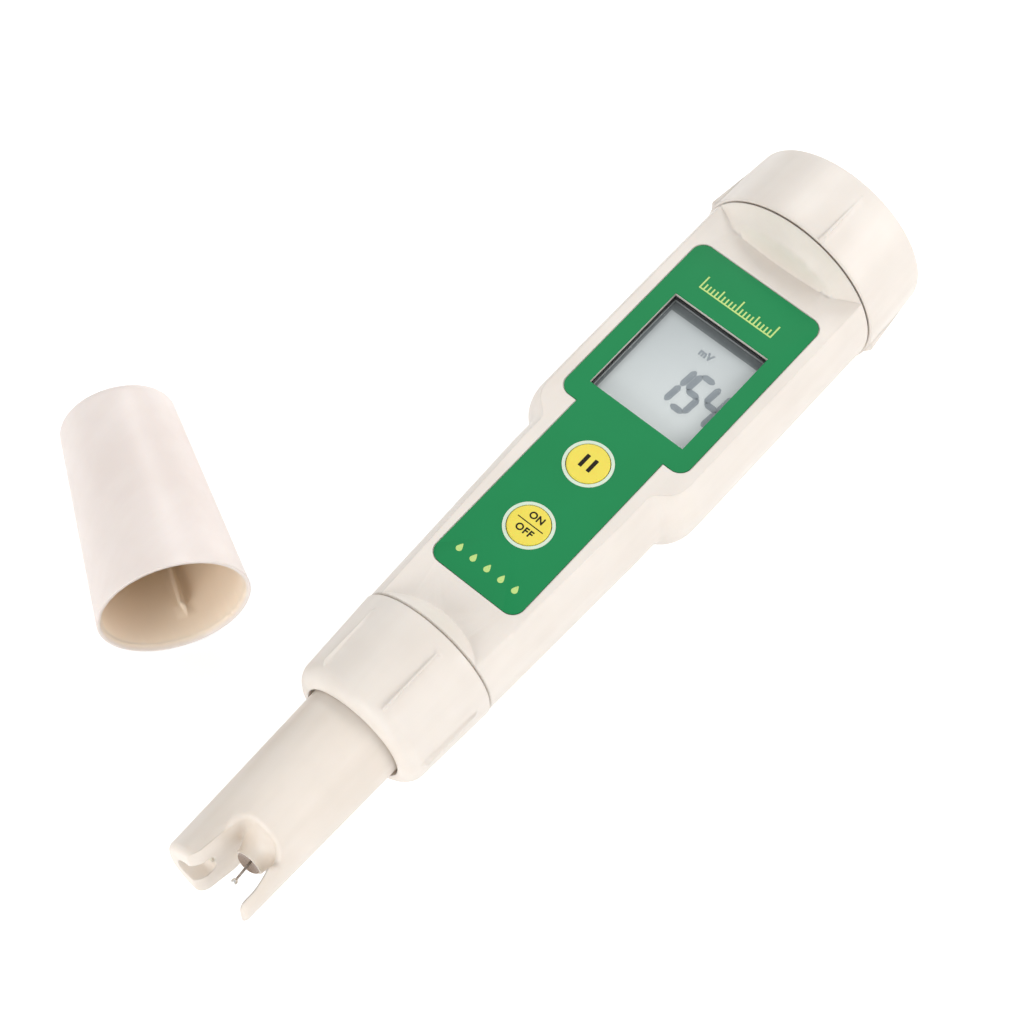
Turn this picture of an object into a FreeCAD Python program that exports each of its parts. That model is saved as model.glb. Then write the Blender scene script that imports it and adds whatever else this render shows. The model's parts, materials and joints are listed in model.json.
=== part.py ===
# Pocket water tester (redox pen) lying on its back, with its electrode cap off beside it.
#
# Every piece is first made in the tester's own frame: the tester's axis is the Y axis, "along"
# is the distance along it from the electrode's tip end towards the battery cap, +X is to the
# right of somebody who reads the display, and +Z points out of the flat face with the keys.
# The last step moves everything so that the origin is under the middle of the whole layout,
# on the surface that it lies on. All lengths are in millimetres.
import FreeCAD
import Part

import math
import os

V = FreeCAD.Vector
AXIS = V(0, 1, 0)
UP = V(0, 0, 1)

# ---------------------------------------------------------------- driving dimensions
tip_front = 1.5          # front of the electrode
collar_front = 39.7
collar_rear = 60.0
body_front = 60.2
taper_end = 101.5
flare_start = 105.5
flare_end = 114.0
body_rear = 165.1
cap_front = 165.35
tester_end = 181.6

body_r = 19.7            # wide part, round the display
waist_r = 16.15          # slim part where it meets the flare
front_r = 14.9           # slim part at the collar
wall = 1.9
flat_z = 9.8             # height of the flat face above the axis
flat_front = 64.9
flat_rear = 161.4
ceiling_z = flat_z - wall

label_thick = 0.3
label_z = 9.75           # top of the label
label_wide = 29.7
label_slim = 20.6
label_front = 72.0
label_step = 113.93
label_rear = 156.3
label_gap = 0.2

window_wide = 22.3
window_front = 118.57
window_rear = 144.06
window_thick = 0.6
window_sunk = 0.35       # from the top of the label down to the window

key_alongs = {"power": 88.1, "hold": 104.9}
key_r = 4.1
key_ring_r = 4.9
key_top_z = 10.05
key_travel = 0.3
fit_gap = 0.15           # between a piece that moves and its neighbour
seat_gap = 0.05          # between pieces that are fixed to each other

board_bottom_z = 1.8
board_top_z = 3.0
board_front = 69.5
board_rear = 150.0
board_slim_half = 11.0
board_wide_half = 13.6
board_step = 113.0
lcd_bottom_z = 4.9
lcd_top_z = 7.1

neck_r = 17.6            # rear neck, which carries the battery cap's thread
neck_bore_r = 16.2
neck_end = 172.0
front_neck_r = 12.5      # front neck, which carries the collar's thread
front_neck_end = 50.5
plug_bore_r = 9.9

cell_r = 5.8             # standard 11.6 x 5.4 mm button cell
cell_thick = 5.4
cell_side = 7.2
cell_z = -1.2
cell_front = 157.05
holder_r = 15.8
holder_front = 154.6
holder_rear = 170.6
holder_top_z = 7.4
link_front = cell_front + 2 * cell_thick + 0.1
link_half_z = 3.0
lid_front = link_front + 0.45

cap_rim_r = 20.15
cap_end_r = 19.6
cap_thread_r = 17.9
cap_rib_r = 21.0
cap_rib_angles = [16 + 90 * k for k in range(4)]

collar_hole_r = 10.7
collar_thread_r = 12.8
collar_rib_r = 15.25
collar_rib_angles = [22 + 60 * k for k in range(6)]

tube_tip_r = 9.47        # electrode tube at its tip end
tube_taper = 0.018       # growth of its radius for each millimetre along
tip_round = 1.3
flange_front = 44.1
flange_rear = 48.4
flange_r = 12.2
plug_r = 9.6
plug_rear = 58.0
chamber_r = 7.7
chamber_front = 16.5
sensor_x = 2.85          # the sensor and the reference junction sit either side of the axis
sensor_front = 9.4
junction_x = -3.6
junction_r = 1.5
pocket_x = -3.2          # the open pocket in front of the junction
pocket_r = 3.4
pocket_end = 5.9
slot_root = 13.8

loose_rim_r = 14.7       # protective cap, lying on its side
loose_end_r = 11.25
loose_length = 44.5
loose_wall = 1.2
loose_rim_x = -43.72     # middle of its mouth
loose_rim_along = 38.5
loose_heading = 148.74   # which way its closed end points, from +X towards +Y
loose_rib_angles = [170 + 120 * k for k in range(3)]


# ---------------------------------------------------------------- helpers
def on_profile(along, radius):
    """A point of a half profile, which turned() spins about the tester's axis."""
    return V(radius, along, 0)


def line(a, b):
    return Part.LineSegment(a, b).toShape()


def arc(a, middle, b):
    return Part.Arc(a, middle, b).toShape()


def curve(*poles):
    """A smooth curve that leaves its first pole and reaches its last one along the others."""
    bezier = Part.BezierCurve()
    bezier.setPoles(list(poles))
    return bezier.toShape()


def spun(edges):
    return Part.Face(Part.Wire(edges)).revolve(V(0, 0, 0), AXIS, 360)


def turned(*points):
    """A solid of revolution from (along, radius) corners joined by straight lines."""
    corners = [on_profile(*point) for point in points]
    edges = [line(a, b) for a, b in zip(corners, corners[1:] + corners[:1])]
    return spun(edges)


def rod(radius, start, end, x=0.0, z=0.0):
    """A cylinder parallel to the tester's axis, from one along to another."""
    return Part.makeCylinder(radius, end - start, V(x, start, z), AXIS)


def ring(outer, inner, start, end, x=0.0, z=0.0):
    return rod(outer, start, end, x, z).cut(rod(inner, start - 1, end + 1, x, z))


def disc(radius, bottom, top, along, x=0.0):
    """An upright cylinder that stands on the height called bottom."""
    return Part.makeCylinder(radius, top - bottom, V(x, along, bottom), UP)


def block(x_low, x_high, along_low, along_high, z_low, z_high):
    size = (x_high - x_low, along_high - along_low, z_high - z_low)
    return Part.makeBox(*size, V(x_low, along_low, z_low))


def plate(outline, z_low, z_high):
    """A flat plate from (x, along) corners."""
    corners = [V(x, along, z_low) for x, along in outline]
    face = Part.Face(Part.makePolygon(corners + corners[:1]))
    return face.extrude(V(0, 0, z_high - z_low))


def upright_edges(shape, chosen=lambda x, y: True):
    """The straight edges that run along Z, where chosen(x, y) is true."""
    found = []
    for edge in shape.Edges:
        ends = [vertex.Point for vertex in edge.Vertexes]
        if len(ends) == 2 and (ends[0] - ends[1]).cross(UP).Length < 1e-6:
            if chosen(ends[0].x, ends[0].y):
                found.append(edge)
    return found


def ridge(sections, angle):
    """A wedge along the axis, from (along, half foot, half crest, foot radius, crest radius)."""
    wires = []
    for along, half_foot, half_crest, foot_r, crest_r in sections:
        corners = [V(-half_foot, along, foot_r), V(half_foot, along, foot_r),
                   V(half_crest, along, crest_r), V(-half_crest, along, crest_r)]
        wires.append(Part.makePolygon(corners + corners[:1]))
    wedge = Part.makeLoft(wires, True, True)
    wedge.rotate(V(0, 0, 0), AXIS, angle)
    return wedge


def below(shape, z):
    """What is left of a shape under a height."""
    return shape.common(block(-30, 30, -10, 200, -30, z))


# ---------------------------------------------------------------- housing
def housing_outside():
    front, rear = on_profile(body_front, 0), on_profile(body_rear, 0)
    lip = on_profile(body_front, front_r - 0.3)
    start = on_profile(body_front + 0.3, front_r)
    waist = on_profile(taper_end, waist_r)
    shoulder = on_profile(flare_end, body_r)
    rim = on_profile(body_rear - 0.2, body_r)
    rim_in = on_profile(body_rear, body_r - 0.2)
    notch = on_profile(flare_start, waist_r)
    flare = curve(notch, on_profile(109.6, 15.9), on_profile(107.8, body_r - 0.1), shoulder)
    return spun([line(front, lip), line(lip, start), line(start, waist), line(waist, notch), flare,
                 line(shoulder, rim), line(rim, rim_in), line(rim_in, rear), line(rear, front)])


def flat_cut():
    """What is taken off for the flat face, with its domed shoulder at either end."""
    inner_front, inner_rear = on_profile(flat_front, 0), on_profile(flat_rear, 0)
    foot_front, foot_rear = on_profile(flat_front, flat_z), on_profile(flat_rear, flat_z)
    brow_front, brow_rear = on_profile(60.55, 14.85), on_profile(flat_rear + 0.55, 15.4)
    edge_rear = on_profile(body_rear - 0.25, body_r)
    far_front, far_rear = on_profile(60.5, 30), on_profile(body_rear + 0.1, 30)
    front_dome = arc(foot_front, on_profile(63.1, 12.5), brow_front)
    rear_dome = arc(brow_rear, on_profile(163.6, 17.3), edge_rear)
    ends = spun([line(inner_front, foot_front), front_dome, line(brow_front, far_front),
                 line(far_front, far_rear), line(far_rear, edge_rear), rear_dome,
                 line(brow_rear, foot_rear), line(foot_rear, inner_rear),
                 line(inner_rear, inner_front)])
    return ends.common(block(-30, 30, 50, 180, flat_z, 40))


def label_outline(margin):
    slim, wide = label_slim / 2 + margin, label_wide / 2 + margin
    front, step, rear = label_front - margin, label_step - margin, label_rear + margin
    return [(-slim, front), (slim, front), (slim, step), (wide, step),
            (wide, rear), (-wide, rear), (-wide, step), (-slim, step)]


def label_plate(margin, z_low, z_high):
    sheet = plate(label_outline(margin), z_low, z_high)
    outer = upright_edges(sheet, lambda x, y: not (abs(x) < 12 and y > 80))
    return sheet.makeFillet(2.6 + margin, outer)


def housing():
    shell = housing_outside().cut(flat_cut())
    slim_room = turned((62.9, 0), (62.9, 12.9), (flare_start + 2, waist_r - wall),
                       (flare_end - 1, body_r - wall), (body_rear - 3, body_r - wall),
                       (body_rear - 3, 0))
    shell = shell.cut(below(slim_room, ceiling_z))
    shell = shell.fuse(rod(neck_r, body_rear - 1, neck_end))
    shell = shell.cut(below(rod(neck_bore_r, body_rear - 4, neck_end + 1), ceiling_z))
    shell = shell.cut(rod(neck_bore_r, body_rear - 0.5, neck_end + 1))
    shell = shell.fuse(ring(front_neck_r, plug_bore_r, front_neck_end, body_front + 1))
    shell = shell.cut(rod(plug_bore_r, front_neck_end - 1, 64))
    shell = shell.cut(label_plate(label_gap, label_z - label_thick, 12))
    shell = shell.cut(block(-window_wide / 2, window_wide / 2, window_front, window_rear, 0, 12))
    for along in key_alongs.values():
        shell = shell.cut(disc(key_r + fit_gap, 0, 12, along))
        shell = shell.cut(disc(5.5, ceiling_z - 1, ceiling_z + 0.5, along))
    return shell.removeSplitter()


# ---------------------------------------------------------------- label, window, keys
def label_overlay():
    sheet = label_plate(0, label_z - label_thick, label_z)
    sheet = sheet.cut(block(-window_wide / 2, window_wide / 2, window_front, window_rear, 0, 12))
    for along in key_alongs.values():
        sheet = sheet.cut(disc(key_ring_r + seat_gap, 0, 12, along))
    return sheet


def display_window():
    half = window_wide / 2 - seat_gap
    return block(-half, half, window_front + seat_gap, window_rear - seat_gap,
                 label_z - window_sunk - window_thick, label_z - window_sunk)


def key_ring(along):
    """The pale printed ring round a key."""
    outer = disc(key_ring_r, label_z - label_thick, label_z + 0.05, along)
    return outer.cut(disc(key_r + fit_gap, 0, 12, along))


def key(along):
    """A key cap: the round face that shows, and a flange that keeps it in the housing."""
    face = disc(key_r, ceiling_z - 0.3, key_top_z, along)
    edge = [e for e in face.Edges if abs(e.BoundBox.ZMin - key_top_z) < 1e-6]
    face = face.makeFillet(0.25, edge)
    return face.fuse(disc(4.8, ceiling_z - 0.65, ceiling_z - 0.1, along))


def key_seals():
    """Soft rings in the housing's counterbores, one above each key's flange."""
    rings = []
    for along in key_alongs.values():
        outer = disc(5.4, ceiling_z, ceiling_z + 0.45, along)
        rings.append(outer.cut(disc(key_r + fit_gap, 0, 12, along)))
    return Part.makeCompound(rings)


def key_switch(along):
    """The tactile switch on the board, with its plunger just below the key."""
    body = block(-3, 3, along - 3, along + 3, board_top_z + seat_gap, 6.3)
    plunger_top = ceiling_z - 0.65 - key_travel - 0.05
    return body.fuse(disc(1.7, 6.2, plunger_top, along))


# ---------------------------------------------------------------- display and electronics
def circuit_board():
    slim, wide = board_slim_half, board_wide_half
    outline = [(-slim, board_front), (slim, board_front), (slim, board_step), (wide, board_step),
               (wide, board_rear), (-wide, board_rear), (-wide, board_step), (-slim, board_step)]
    return plate(outline, board_bottom_z, board_top_z)


def lcd_panel():
    """Two glass sheets, the lower one longer so that its contacts show."""
    lower = block(-12.9, 12.9, 115.8, 147.4, lcd_bottom_z, 6.0)
    upper = block(-12.9, 12.9, 117.4, 147.4, 6.0, lcd_top_z)
    return lower.fuse(upper).removeSplitter()


def lcd_frame():
    """The holder that clips over the panel and stands on the board."""
    frame = block(-13.7, 13.7, 114.9, 148.3, board_top_z + seat_gap, ceiling_z - 0.1)
    frame = frame.cut(block(-13.0, 13.0, 115.7, 147.5, 0, lcd_top_z + seat_gap))
    half = window_wide / 2 + 0.4
    return frame.cut(block(-half, half, window_front - 0.4, window_rear + 0.4, 0, 12))


def display_strips():
    """Rubber strips that join the glass to the board."""
    low, high = board_top_z + seat_gap, lcd_bottom_z - seat_gap
    strips = [block(-12, 12, start, start + 2.4, low, high) for start in (116.2, 144.6)]
    return Part.makeCompound(strips)


def main_chip():
    body = block(-5, 5, 122, 132, 0.3, board_bottom_z - 0.25)
    pins = []
    for step in range(8):
        along = 122.9 + step * 1.17
        pins.append(block(-6.2, 6.2, along - 0.2, along + 0.2, 1.35, board_bottom_z - seat_gap))
    for pin in pins:
        body = body.fuse(pin)
    return body


def amplifier_chip():
    body = block(-2.0, 2.0, 76, 81, 0.4, board_bottom_z - 0.25)
    for step in range(4):
        along = 76.6 + step * 1.27
        body = body.fuse(block(-3.0, 3.0, along - 0.2, along + 0.2, 1.35,
                               board_bottom_z - seat_gap))
    return body


def calibration_trimmer():
    """A small sealed box with a brass slotted screw, set when the tester is calibrated."""
    body = block(4.5, 11.0, 138.5, 145.5, -2.9, board_bottom_z - seat_gap)
    screw = rod(1.1, 145.4, 146.3, 9.2, -1.0)
    return body.fuse(screw.cut(block(7, 12, 145.9, 147, -1.25, -0.75)))


def board_parts():
    """Resistors and capacitors in rows on the underside of the board."""
    places = [(x, along) for along in (86, 91, 96, 101) for x in (-7, -2.5, 2.5, 7)]
    places += [(x, 117.5) for x in (-9, -4.5, 0, 4.5, 9)]
    places += [(x, 136) for x in (-10, -6)]
    top = board_bottom_z - seat_gap
    parts = [block(x - 1.0, x + 1.0, along - 0.6, along + 0.6, top - 0.6, top)
             for x, along in places]
    return Part.makeCompound(parts)


def inner_frame():
    """The sled that carries the board and closes off the battery bay."""
    sled = rod(15.9, 114.6, 152.0).cut(rod(14.5, 110, 150.4))
    sled = sled.cut(block(-20, 20, 110, 150.4, board_bottom_z - 0.1, 25))
    for side in (-1, 1):
        low, high = sorted((side * 12.4, side * 14.9))
        rail = block(low, high, 114.6, 150.6, 0.3, board_bottom_z - seat_gap)
        sled = sled.fuse(rail.common(rod(15.8, 110, 152)))
    sled = below(sled, ceiling_z - 0.3)
    for side in (-1, 1):
        sled = sled.cut(rod(0.6, 149, 153, side * cell_side, cell_z))
    return sled


def battery_contacts():
    """Contacts on the rear of the sled's end wall, with a pin through it to the board."""
    contacts = []
    for side in (-1, 1):
        x = side * cell_side
        spring = turned_at((152.05, 3.4), (153.2, 3.4), (156.95, 1.6), x=x, z=cell_z)
        pin = rod(0.5, 148.2, 152.2, x, cell_z)
        post = block(x - 0.4, x + 0.4, 148.3, 149.1, cell_z, board_bottom_z - seat_gap)
        contacts.append(spring.fuse(pin).fuse(post))
    return Part.makeCompound(contacts)


def turned_at(*points, x, z):
    """A solid of revolution about a line parallel to the axis."""
    closed = [(points[0][0], 0)] + list(points) + [(points[-1][0], 0)]
    solid = turned(*closed)
    solid.translate(V(x, 0, z))
    return solid


# ---------------------------------------------------------------- batteries and their cap
def battery_holder():
    """A D-shaped block with a well for each stack of cells, open at the rear."""
    body = below(rod(holder_r, holder_front, lid_front), holder_top_z)
    for side in (-1, 1):
        x = side * cell_side
        body = body.cut(rod(cell_r + 0.15, cell_front - seat_gap, lid_front + 1, x, cell_z))
        body = body.cut(rod(3.9, holder_front - 1, cell_front, x, cell_z))
    body = body.cut(block(-cell_side, cell_side, link_front - seat_gap, lid_front + 1,
                          cell_z - link_half_z - 0.2, cell_z + link_half_z + 0.2))
    return body.cut(rod(1.0 + seat_gap, 158, lid_front + 1, 0, cell_z))


def button_cell(side, row):
    start = cell_front + row * (cell_thick + seat_gap)
    x = side * cell_side
    can = rod(cell_r, start, start + cell_thick, x, cell_z)
    edge = [e for e in can.Edges if abs(e.BoundBox.YMin - start) < 1e-6
            and abs(e.BoundBox.YMax - start) < 1e-6]
    return can.makeChamfer(0.5, edge)


def cell_link():
    """The metal plate that joins the two stacks of cells."""
    half = cell_side + link_half_z
    link = block(-half, half, link_front, link_front + 0.35,
                 cell_z - link_half_z, cell_z + link_half_z)
    return link.cut(rod(1.3, link_front - 1, link_front + 1, 0, cell_z))


def holder_lid():
    """The lid over the cells, with a tab to pull the holder out by."""
    lid = below(rod(holder_r - 0.3, lid_front + seat_gap, holder_rear), holder_top_z - 0.2)
    tab = block(-5, 5, holder_rear - 0.5, 176.5, cell_z + 3.2, cell_z + 4.8)
    tab = tab.makeFillet(0.6, [e for e in tab.Edges if abs(e.BoundBox.YMin - 176.5) < 1e-6])
    return lid.fuse(tab).cut(rod(1.1, 165, 180, 0, cell_z))


def lid_screw():
    """The small screw between the two stacks that holds the lid on."""
    shank = rod(1.0, 158.5, holder_rear + 0.1, 0, cell_z)
    head = rod(2.0, holder_rear + 0.05, holder_rear + 1.3, 0, cell_z)
    slot = block(-3, 3, holder_rear + 0.8, holder_rear + 2, cell_z - 0.3, cell_z + 0.3)
    return shank.fuse(head).cut(slot)


def battery_cap():
    centre_front, centre_rear = on_profile(cap_front, 0), on_profile(tester_end, 0)
    lip = on_profile(cap_front, cap_rim_r - 0.25)
    rim = on_profile(cap_front + 0.25, cap_rim_r)
    knee = on_profile(177.0, 19.85)
    edge = on_profile(tester_end - 1.0, cap_end_r)
    edge_middle = on_profile(tester_end - 0.29, cap_end_r - 0.29)
    face = on_profile(tester_end, cap_end_r - 1.0)
    cap = spun([line(centre_front, lip), line(lip, rim), line(rim, knee), line(knee, edge),
                arc(edge, edge_middle, face), line(face, centre_rear),
                line(centre_rear, centre_front)])
    for angle in cap_rib_angles:
        cap = cap.fuse(ridge([(cap_front + 0.1, 1.1, 0.5, 18.5, 20.1),
                              (cap_front + 1.3, 1.0, 0.32, 18.5, cap_rib_r),
                              (178.9, 0.3, 0.12, 18.5, 19.72)], angle))
    cap = cap.cut(rod(cap_thread_r, cap_front - 1, neck_end + 1.5))
    cap = cap.cut(rod(17.2, neck_end, tester_end - 2.0))
    return cap.cut(rod(18.95, cap_front - 1, cap_front + 2.2)).removeSplitter()


def battery_cap_seal():
    """The ring in the cap's groove, round the housing's neck."""
    return Part.makeTorus(18.33, 0.52, V(0, cap_front + 1.2, 0), AXIS)


# ---------------------------------------------------------------- collar
def collar_nut():
    hole = on_profile(collar_front, 0)
    lip = on_profile(collar_front, collar_hole_r + 0.5)
    nose = on_profile(43.4, 14.35)
    rear = on_profile(collar_rear - 0.25, 15.1)
    rear_in = on_profile(collar_rear, 14.85)
    inside = on_profile(collar_rear, 0)
    nut = spun([line(hole, lip), arc(lip, on_profile(40.75, 13.35), nose), line(nose, rear),
                line(rear, rear_in), line(rear_in, inside), line(inside, hole)])
    for angle in collar_rib_angles:
        nut = nut.fuse(ridge([(41.5, 0.35, 0.12, 12.9, 13.5),
                              (43.3, 0.85, 0.22, 13.2, collar_rib_r),
                              (56.0, 0.5, 0.2, 13.6, collar_rib_r + 0.08),
                              (56.7, 0.3, 0.12, 13.6, 14.9)], angle))
    nut = nut.cut(rod(collar_hole_r, collar_front - 1, 50))
    return nut.cut(rod(collar_thread_r, 43.0, collar_rear + 1)).removeSplitter()


def collar_washer():
    """The slip washer that lets the collar turn against the electrode's flange."""
    return ring(flange_r, collar_hole_r + 0.05, 43.05, flange_front - seat_gap)


# ---------------------------------------------------------------- electrode
def tube_r(along):
    return tube_tip_r + tube_taper * (along - tip_front)


def electrode_slot():
    """The slot straight through the tip, where water reaches the sensor."""
    left_mouth, left_root = V(-2.0, 4.4, 0), V(-1.05, 11.2, 0)
    root_left, root_right = V(1.4, slot_root, 0), V(4.4, slot_root, 0)
    right_root, right_mouth = V(7.0, 11.9, 0), V(8.4, 5.0, 0)
    corner = arc(V(-4.4, tip_front - 0.5, 0), V(-2.75, 2.3, 0), left_mouth)
    edges = [corner, line(left_mouth, left_root),
             arc(left_root, V(-0.3, 13.0, 0), root_left), line(root_left, root_right),
             arc(root_right, V(6.2, 13.2, 0), right_root),
             arc(right_root, V(8.0, 8.4, 0), right_mouth),
             line(right_mouth, V(8.35, -1, 0)), line(V(8.35, -1, 0), V(-4.4, -1, 0)),
             line(V(-4.4, -1, 0), V(-4.4, tip_front - 0.5, 0))]
    face = Part.Face(Part.Wire(edges))
    face.translate(V(0, 0, -15))
    return face.extrude(V(0, 0, 30)).cut(sensor_rise())


def sensor_rise():
    """The trumpet that rises from the slot's root to the sensor's face in one round sweep."""
    sweep = 4.75
    centre_along, centre_r = slot_root + 0.12 - sweep, 7.6
    start = sensor_front + 0.1
    start_r = centre_r - math.sqrt(sweep ** 2 - (start - centre_along) ** 2)
    middle = on_profile(centre_along + sweep * 0.7071, centre_r - sweep * 0.7071)
    mouth, root = on_profile(start, start_r), on_profile(centre_along + sweep, centre_r)
    far, inner = on_profile(slot_root + 1, centre_r), on_profile(slot_root + 1, 0)
    rise = spun([line(on_profile(start, 0), mouth), arc(mouth, middle, root), line(root, far),
                 line(far, inner), line(inner, on_profile(start, 0))])
    rise.translate(V(sensor_x, 0, 0))
    return rise


def electrode_body():
    start = on_profile(tip_front, 0)
    face = on_profile(tip_front, tube_tip_r - tip_round)
    bend = on_profile(tip_front + 0.29 * tip_round, tube_tip_r - 0.27 * tip_round)
    side = on_profile(tip_front + tip_round, tube_r(tip_front + tip_round))
    rear = on_profile(flange_front + 0.5, tube_r(flange_front + 0.5))
    inside = on_profile(flange_front + 0.5, 0)
    body = spun([line(start, face), arc(face, bend, side), line(side, rear),
                 line(rear, inside), line(inside, start)])
    body = body.cut(electrode_slot())
    pocket = rod(pocket_r, 0, pocket_end, pocket_x)
    far = [e for e in pocket.Edges if abs(e.BoundBox.YMin - pocket_end) < 1e-6]
    body = body.cut(pocket.makeFillet(1.6, far))
    body = body.fuse(rod(flange_r, flange_front, flange_rear))
    body = body.fuse(rod(plug_r, flange_rear - 0.5, plug_rear))
    body = body.cut(rod(chamber_r, chamber_front, plug_rear + 1))
    body = body.cut(ring(plug_r + 1, 8.6, 52.6, 55.0))
    body = body.cut(rod(2.5, 0, sensor_front + 2.0, sensor_x, 0))
    body = body.cut(rod(1.5 + seat_gap, 0, chamber_front + 1, sensor_x, 0))
    body = body.cut(rod(junction_r + seat_gap, 5, chamber_front + 1, junction_x))
    return body.makeFillet(1.0, slot_root_edges(body))


def slot_root_edges(body):
    """The edges where the slot's root comes out through the side of the tube."""
    def on_side(edge):
        step = (edge.LastParameter - edge.FirstParameter) / 5
        points = [edge.valueAt(edge.FirstParameter + (k + 0.5) * step) for k in range(5)]
        return all(abs(math.hypot(p.x, p.z) - tube_r(p.y)) < 0.05 for p in points)
    return [e for e in body.Edges
            if e.BoundBox.YMin > 11 and e.BoundBox.YMax < 14.5 and on_side(e)]


def sensor_stem():
    """The dark sealed stem: a dished head that faces a little upward, and a shaft to the plug."""
    head = rod(2.44, sensor_front - 0.7, sensor_front + 1.95, sensor_x, 0)
    facing = V(0.070, -0.976, 0.204)
    dish = Part.makeSphere(4.6, V(sensor_x, sensor_front, 0) + facing * 3.9)
    shaft = rod(1.5, sensor_front + 1.5, 51.9, sensor_x, 0)
    return head.cut(dish).fuse(shaft).cut(pin_path(0.28)).removeSplitter()


pin_ball = V(3.3, 5.3, 0)
pin_root = V(sensor_x, sensor_front + 1.3, 0)


def pin_path(radius):
    way = pin_root - pin_ball
    return Part.makeCylinder(radius, way.Length, pin_ball, way)


def sensor_pin():
    """The platinum wire with its round end."""
    return pin_path(0.25).fuse(Part.makeSphere(0.62, pin_ball))


def reference_junction():
    """The porous plug at the bottom of the pocket, through to the filling."""
    return rod(junction_r, pocket_end - 0.2, chamber_front + 0.6, junction_x)


def reference_tube():
    """A thin glass tube that keeps the reference wire's filling apart."""
    return ring(2.0, 1.4, 20, 51.9, -4.6, 0)


def reference_wire():
    return rod(0.4, 21, 53.0, -4.6, 0)


def electrode_plug():
    """The plug that closes the electrode's rear end."""
    plug = rod(chamber_r - seat_gap, 52.0, plug_rear)
    for side in (-1, 1):
        plug = plug.cut(rod(0.6 + seat_gap, 50, 60, side * 4.6, 0))
    return plug


def plug_pins():
    """Two contact pins, from inside the plug into the socket."""
    return Part.makeCompound([pin_end(side * 4.6) for side in (-1, 1)])


def pin_end(x):
    return rod(0.6, 53.3, 62.2, x, 0).fuse(Part.makeSphere(0.6, V(x, 62.2, 0)))


def electrode_ring():
    """The sealing ring in the groove of the electrode's plug."""
    return Part.makeTorus(9.15, 0.5, V(0, 53.8, 0), AXIS)


def flange_seal():
    """The flat seal between the electrode's flange and the housing's neck."""
    return ring(flange_r, plug_r + 0.1, flange_rear + seat_gap, front_neck_end - 0.1)


def electrode_socket():
    """The socket behind the front neck, with a clearance hole for each pin."""
    socket = rod(9.3, 58.6, 62.95).fuse(rod(5.9, 62.9, 68.4))
    for side in (-1, 1):
        socket = socket.cut(rod(0.68, 58, 64, side * 4.6, 0))
    return socket


def socket_leads():
    """Two stiff leads from the socket up to the front edge of the board."""
    leads = []
    for side in (-1, 1):
        x = side * 3.2
        out = rod(0.35, 68.45, 71.2, x, 0)
        up = disc(0.35, -0.35, board_bottom_z - seat_gap, 71.2, x)
        leads.append(out.fuse(up))
    return Part.makeCompound(leads)


# ---------------------------------------------------------------- protective cap
loose_taper = math.degrees(math.asin((loose_rim_r - loose_end_r) / loose_length))


def protective_cap():
    """A tapered cup, made with its mouth at the origin and its closed end along +Y."""
    end_along = loose_length
    round_r = 2.2
    slope = (loose_rim_r - loose_end_r) / loose_length
    side_along = end_along - round_r
    rim = on_profile(0, loose_rim_r - 0.1)
    side = on_profile(0.15, loose_rim_r)
    side_end = on_profile(side_along, loose_end_r + slope * round_r)
    bend = on_profile(end_along - round_r * 0.29, loose_end_r - round_r * 0.2)
    end_face = on_profile(end_along, loose_end_r - round_r)
    cup = spun([line(on_profile(0, 0), rim), line(rim, side), line(side, side_end),
                arc(side_end, bend, end_face), line(end_face, on_profile(end_along, 0)),
                line(on_profile(end_along, 0), on_profile(0, 0))])
    mouth_r = loose_rim_r - loose_wall
    floor_r = loose_end_r - loose_wall
    hollow = turned((-1, 0), (-1, mouth_r + slope), (end_along - 1.4, floor_r),
                    (end_along - 1.4, 0))
    floor = [e for e in hollow.Edges if abs(e.BoundBox.YMin - (end_along - 1.4)) < 1e-6]
    cup = cup.cut(hollow.makeFillet(1.4, floor))
    cup = cup.cut(turned((-1, 0), (-1, mouth_r + 0.45), (1.1, mouth_r + 0.45), (1.1, 0)))
    inside = hollow_rib_space(slope)
    for angle in loose_rib_angles:
        cup = cup.fuse(inner_rib(angle).common(inside))
    return cup.removeSplitter()


def hollow_rib_space(slope):
    """The room for the ribs: inside the middle of the wall, and clear of the mouth."""
    middle_r = loose_rim_r - loose_wall / 2
    return turned((0, 0), (0, middle_r), (loose_length - 0.7, middle_r - slope * loose_length),
                  (loose_length - 0.7, 0))


def inner_rib(angle):
    """A rib that grips the electrode's tube; its crest stays parallel to the cap's axis."""
    rib = block(-0.55, 0.55, 6.9, loose_length - 1, 10.35, 16)
    rib.rotate(V(0, 0, 0), AXIS, angle)
    return rib


def laid_down(cup, floor_z):
    """Turns the cup so that its side lies on the surface, and takes it to its place."""
    taper = math.radians(loose_taper)
    cup.rotate(V(0, 0, 0), V(1, 0, 0), -loose_taper)
    cup.rotate(V(0, 0, 0), UP, loose_heading - 90)
    cup.translate(V(loose_rim_x, loose_rim_along, floor_z + loose_rim_r * math.cos(taper)))
    return cup


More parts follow.
